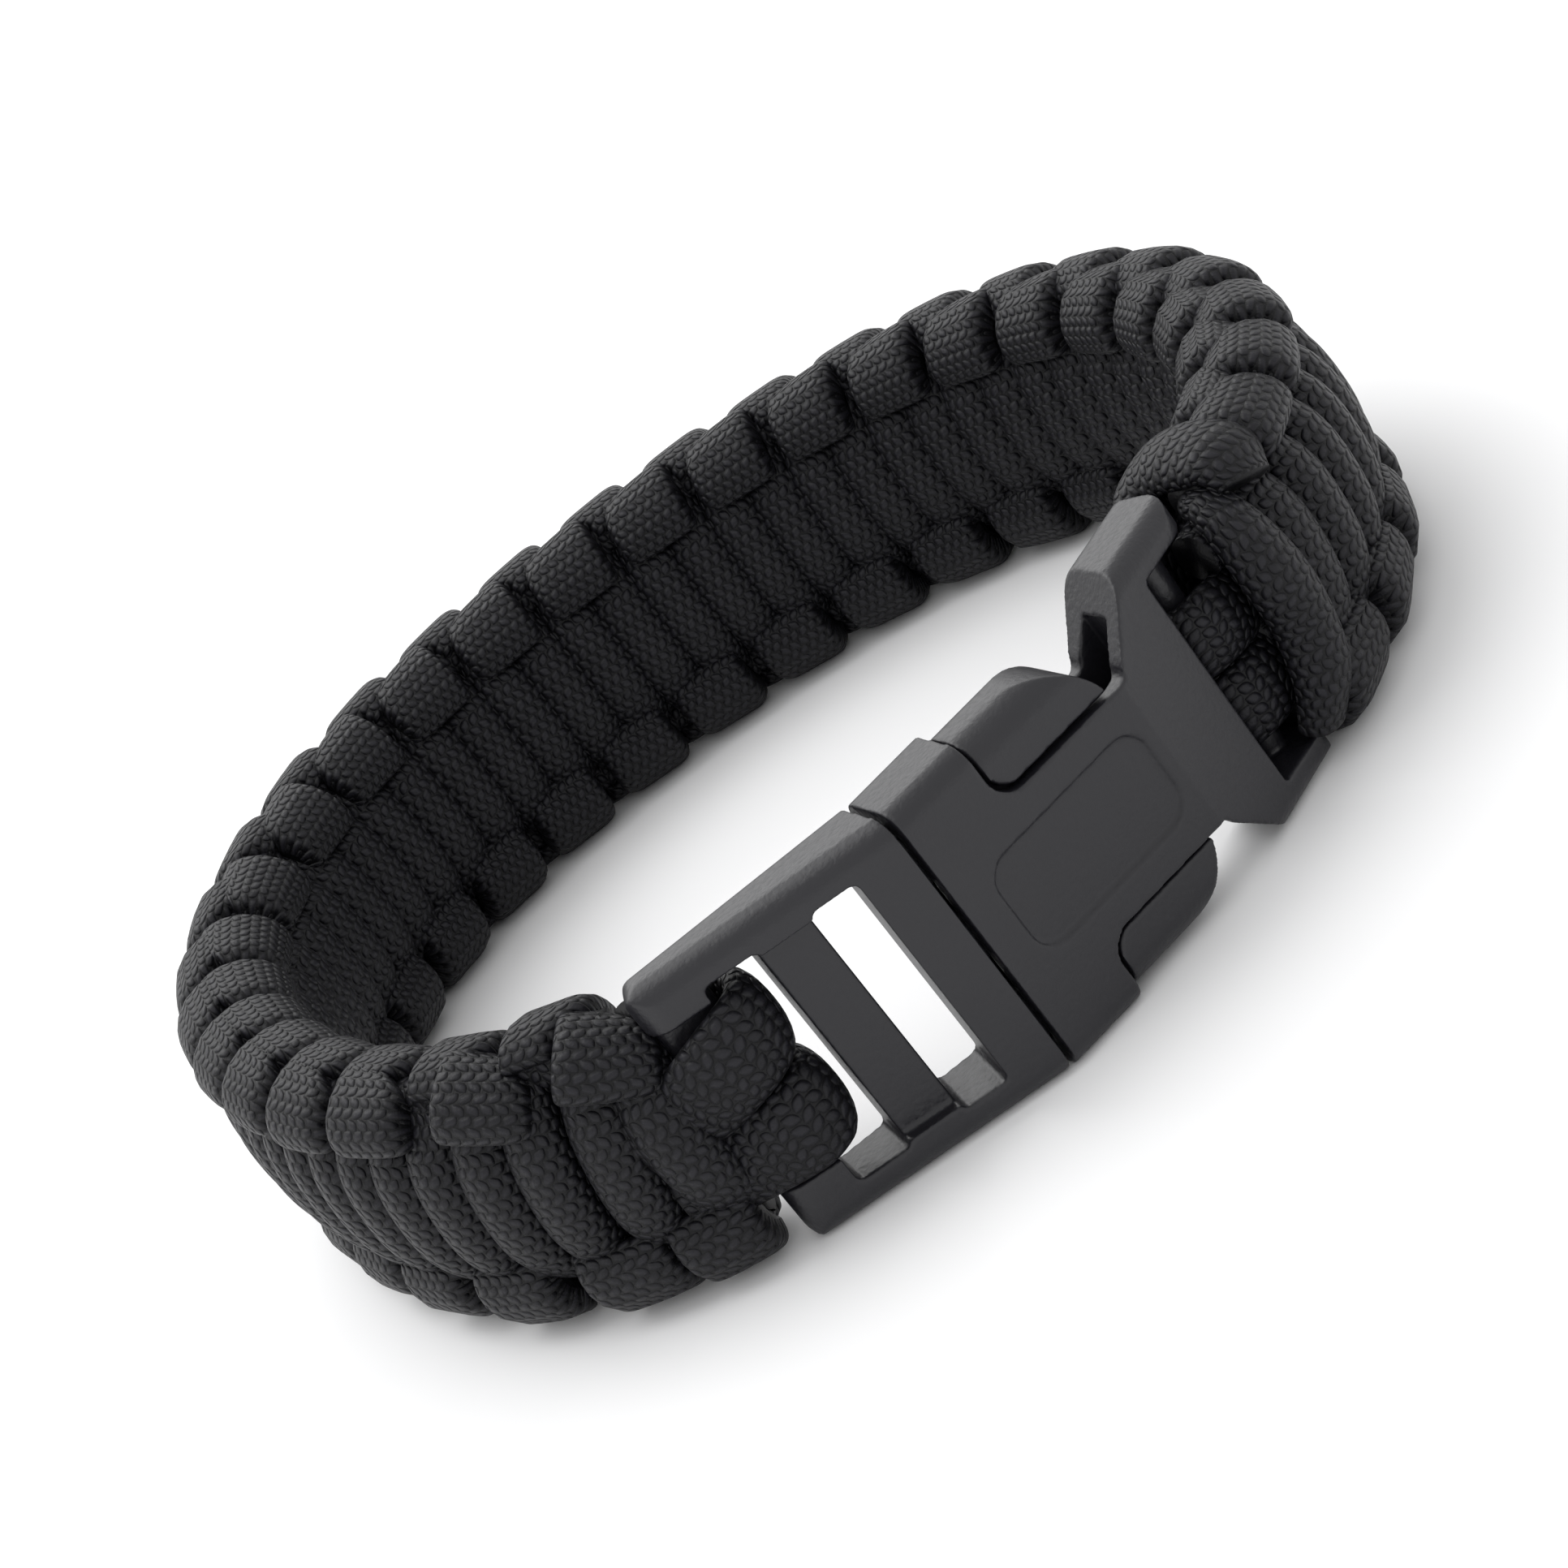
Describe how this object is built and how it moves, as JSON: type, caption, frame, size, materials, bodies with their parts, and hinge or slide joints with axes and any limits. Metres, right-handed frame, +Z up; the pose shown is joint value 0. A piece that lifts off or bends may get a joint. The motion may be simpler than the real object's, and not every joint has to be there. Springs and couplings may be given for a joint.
{
  "type": "woven paracord bracelet with side-release buckle",
  "caption": "Closed woven-cord bracelet lying on its side, with a fastened, curved two-piece side-release buckle whose bars the cord wraps.",
  "frame": {"origin": "on the surface that the bracelet lies on, under the middle of its outline seen from above", "axes": "+Z up along the band's width; -Y towards the buckle's front face; +X from the plug towards the socket, along the loop's long way"},
  "size_m": [0.0922, 0.086, 0.0218],
  "materials": {
    "buckle": "black moulded plastic with a fine satin grain",
    "cord": "black braided nylon cord with fine pale stitches"
  },
  "bodies": {
    "root": {"buckle_plug": "buckle", "buckle_socket": "buckle", "woven_band": "cord", "plug_wrap_upper": "cord", "plug_wrap_lower": "cord", "socket_wrap_upper": "cord", "socket_wrap_lower": "cord"}
  },
  "joints": []
}
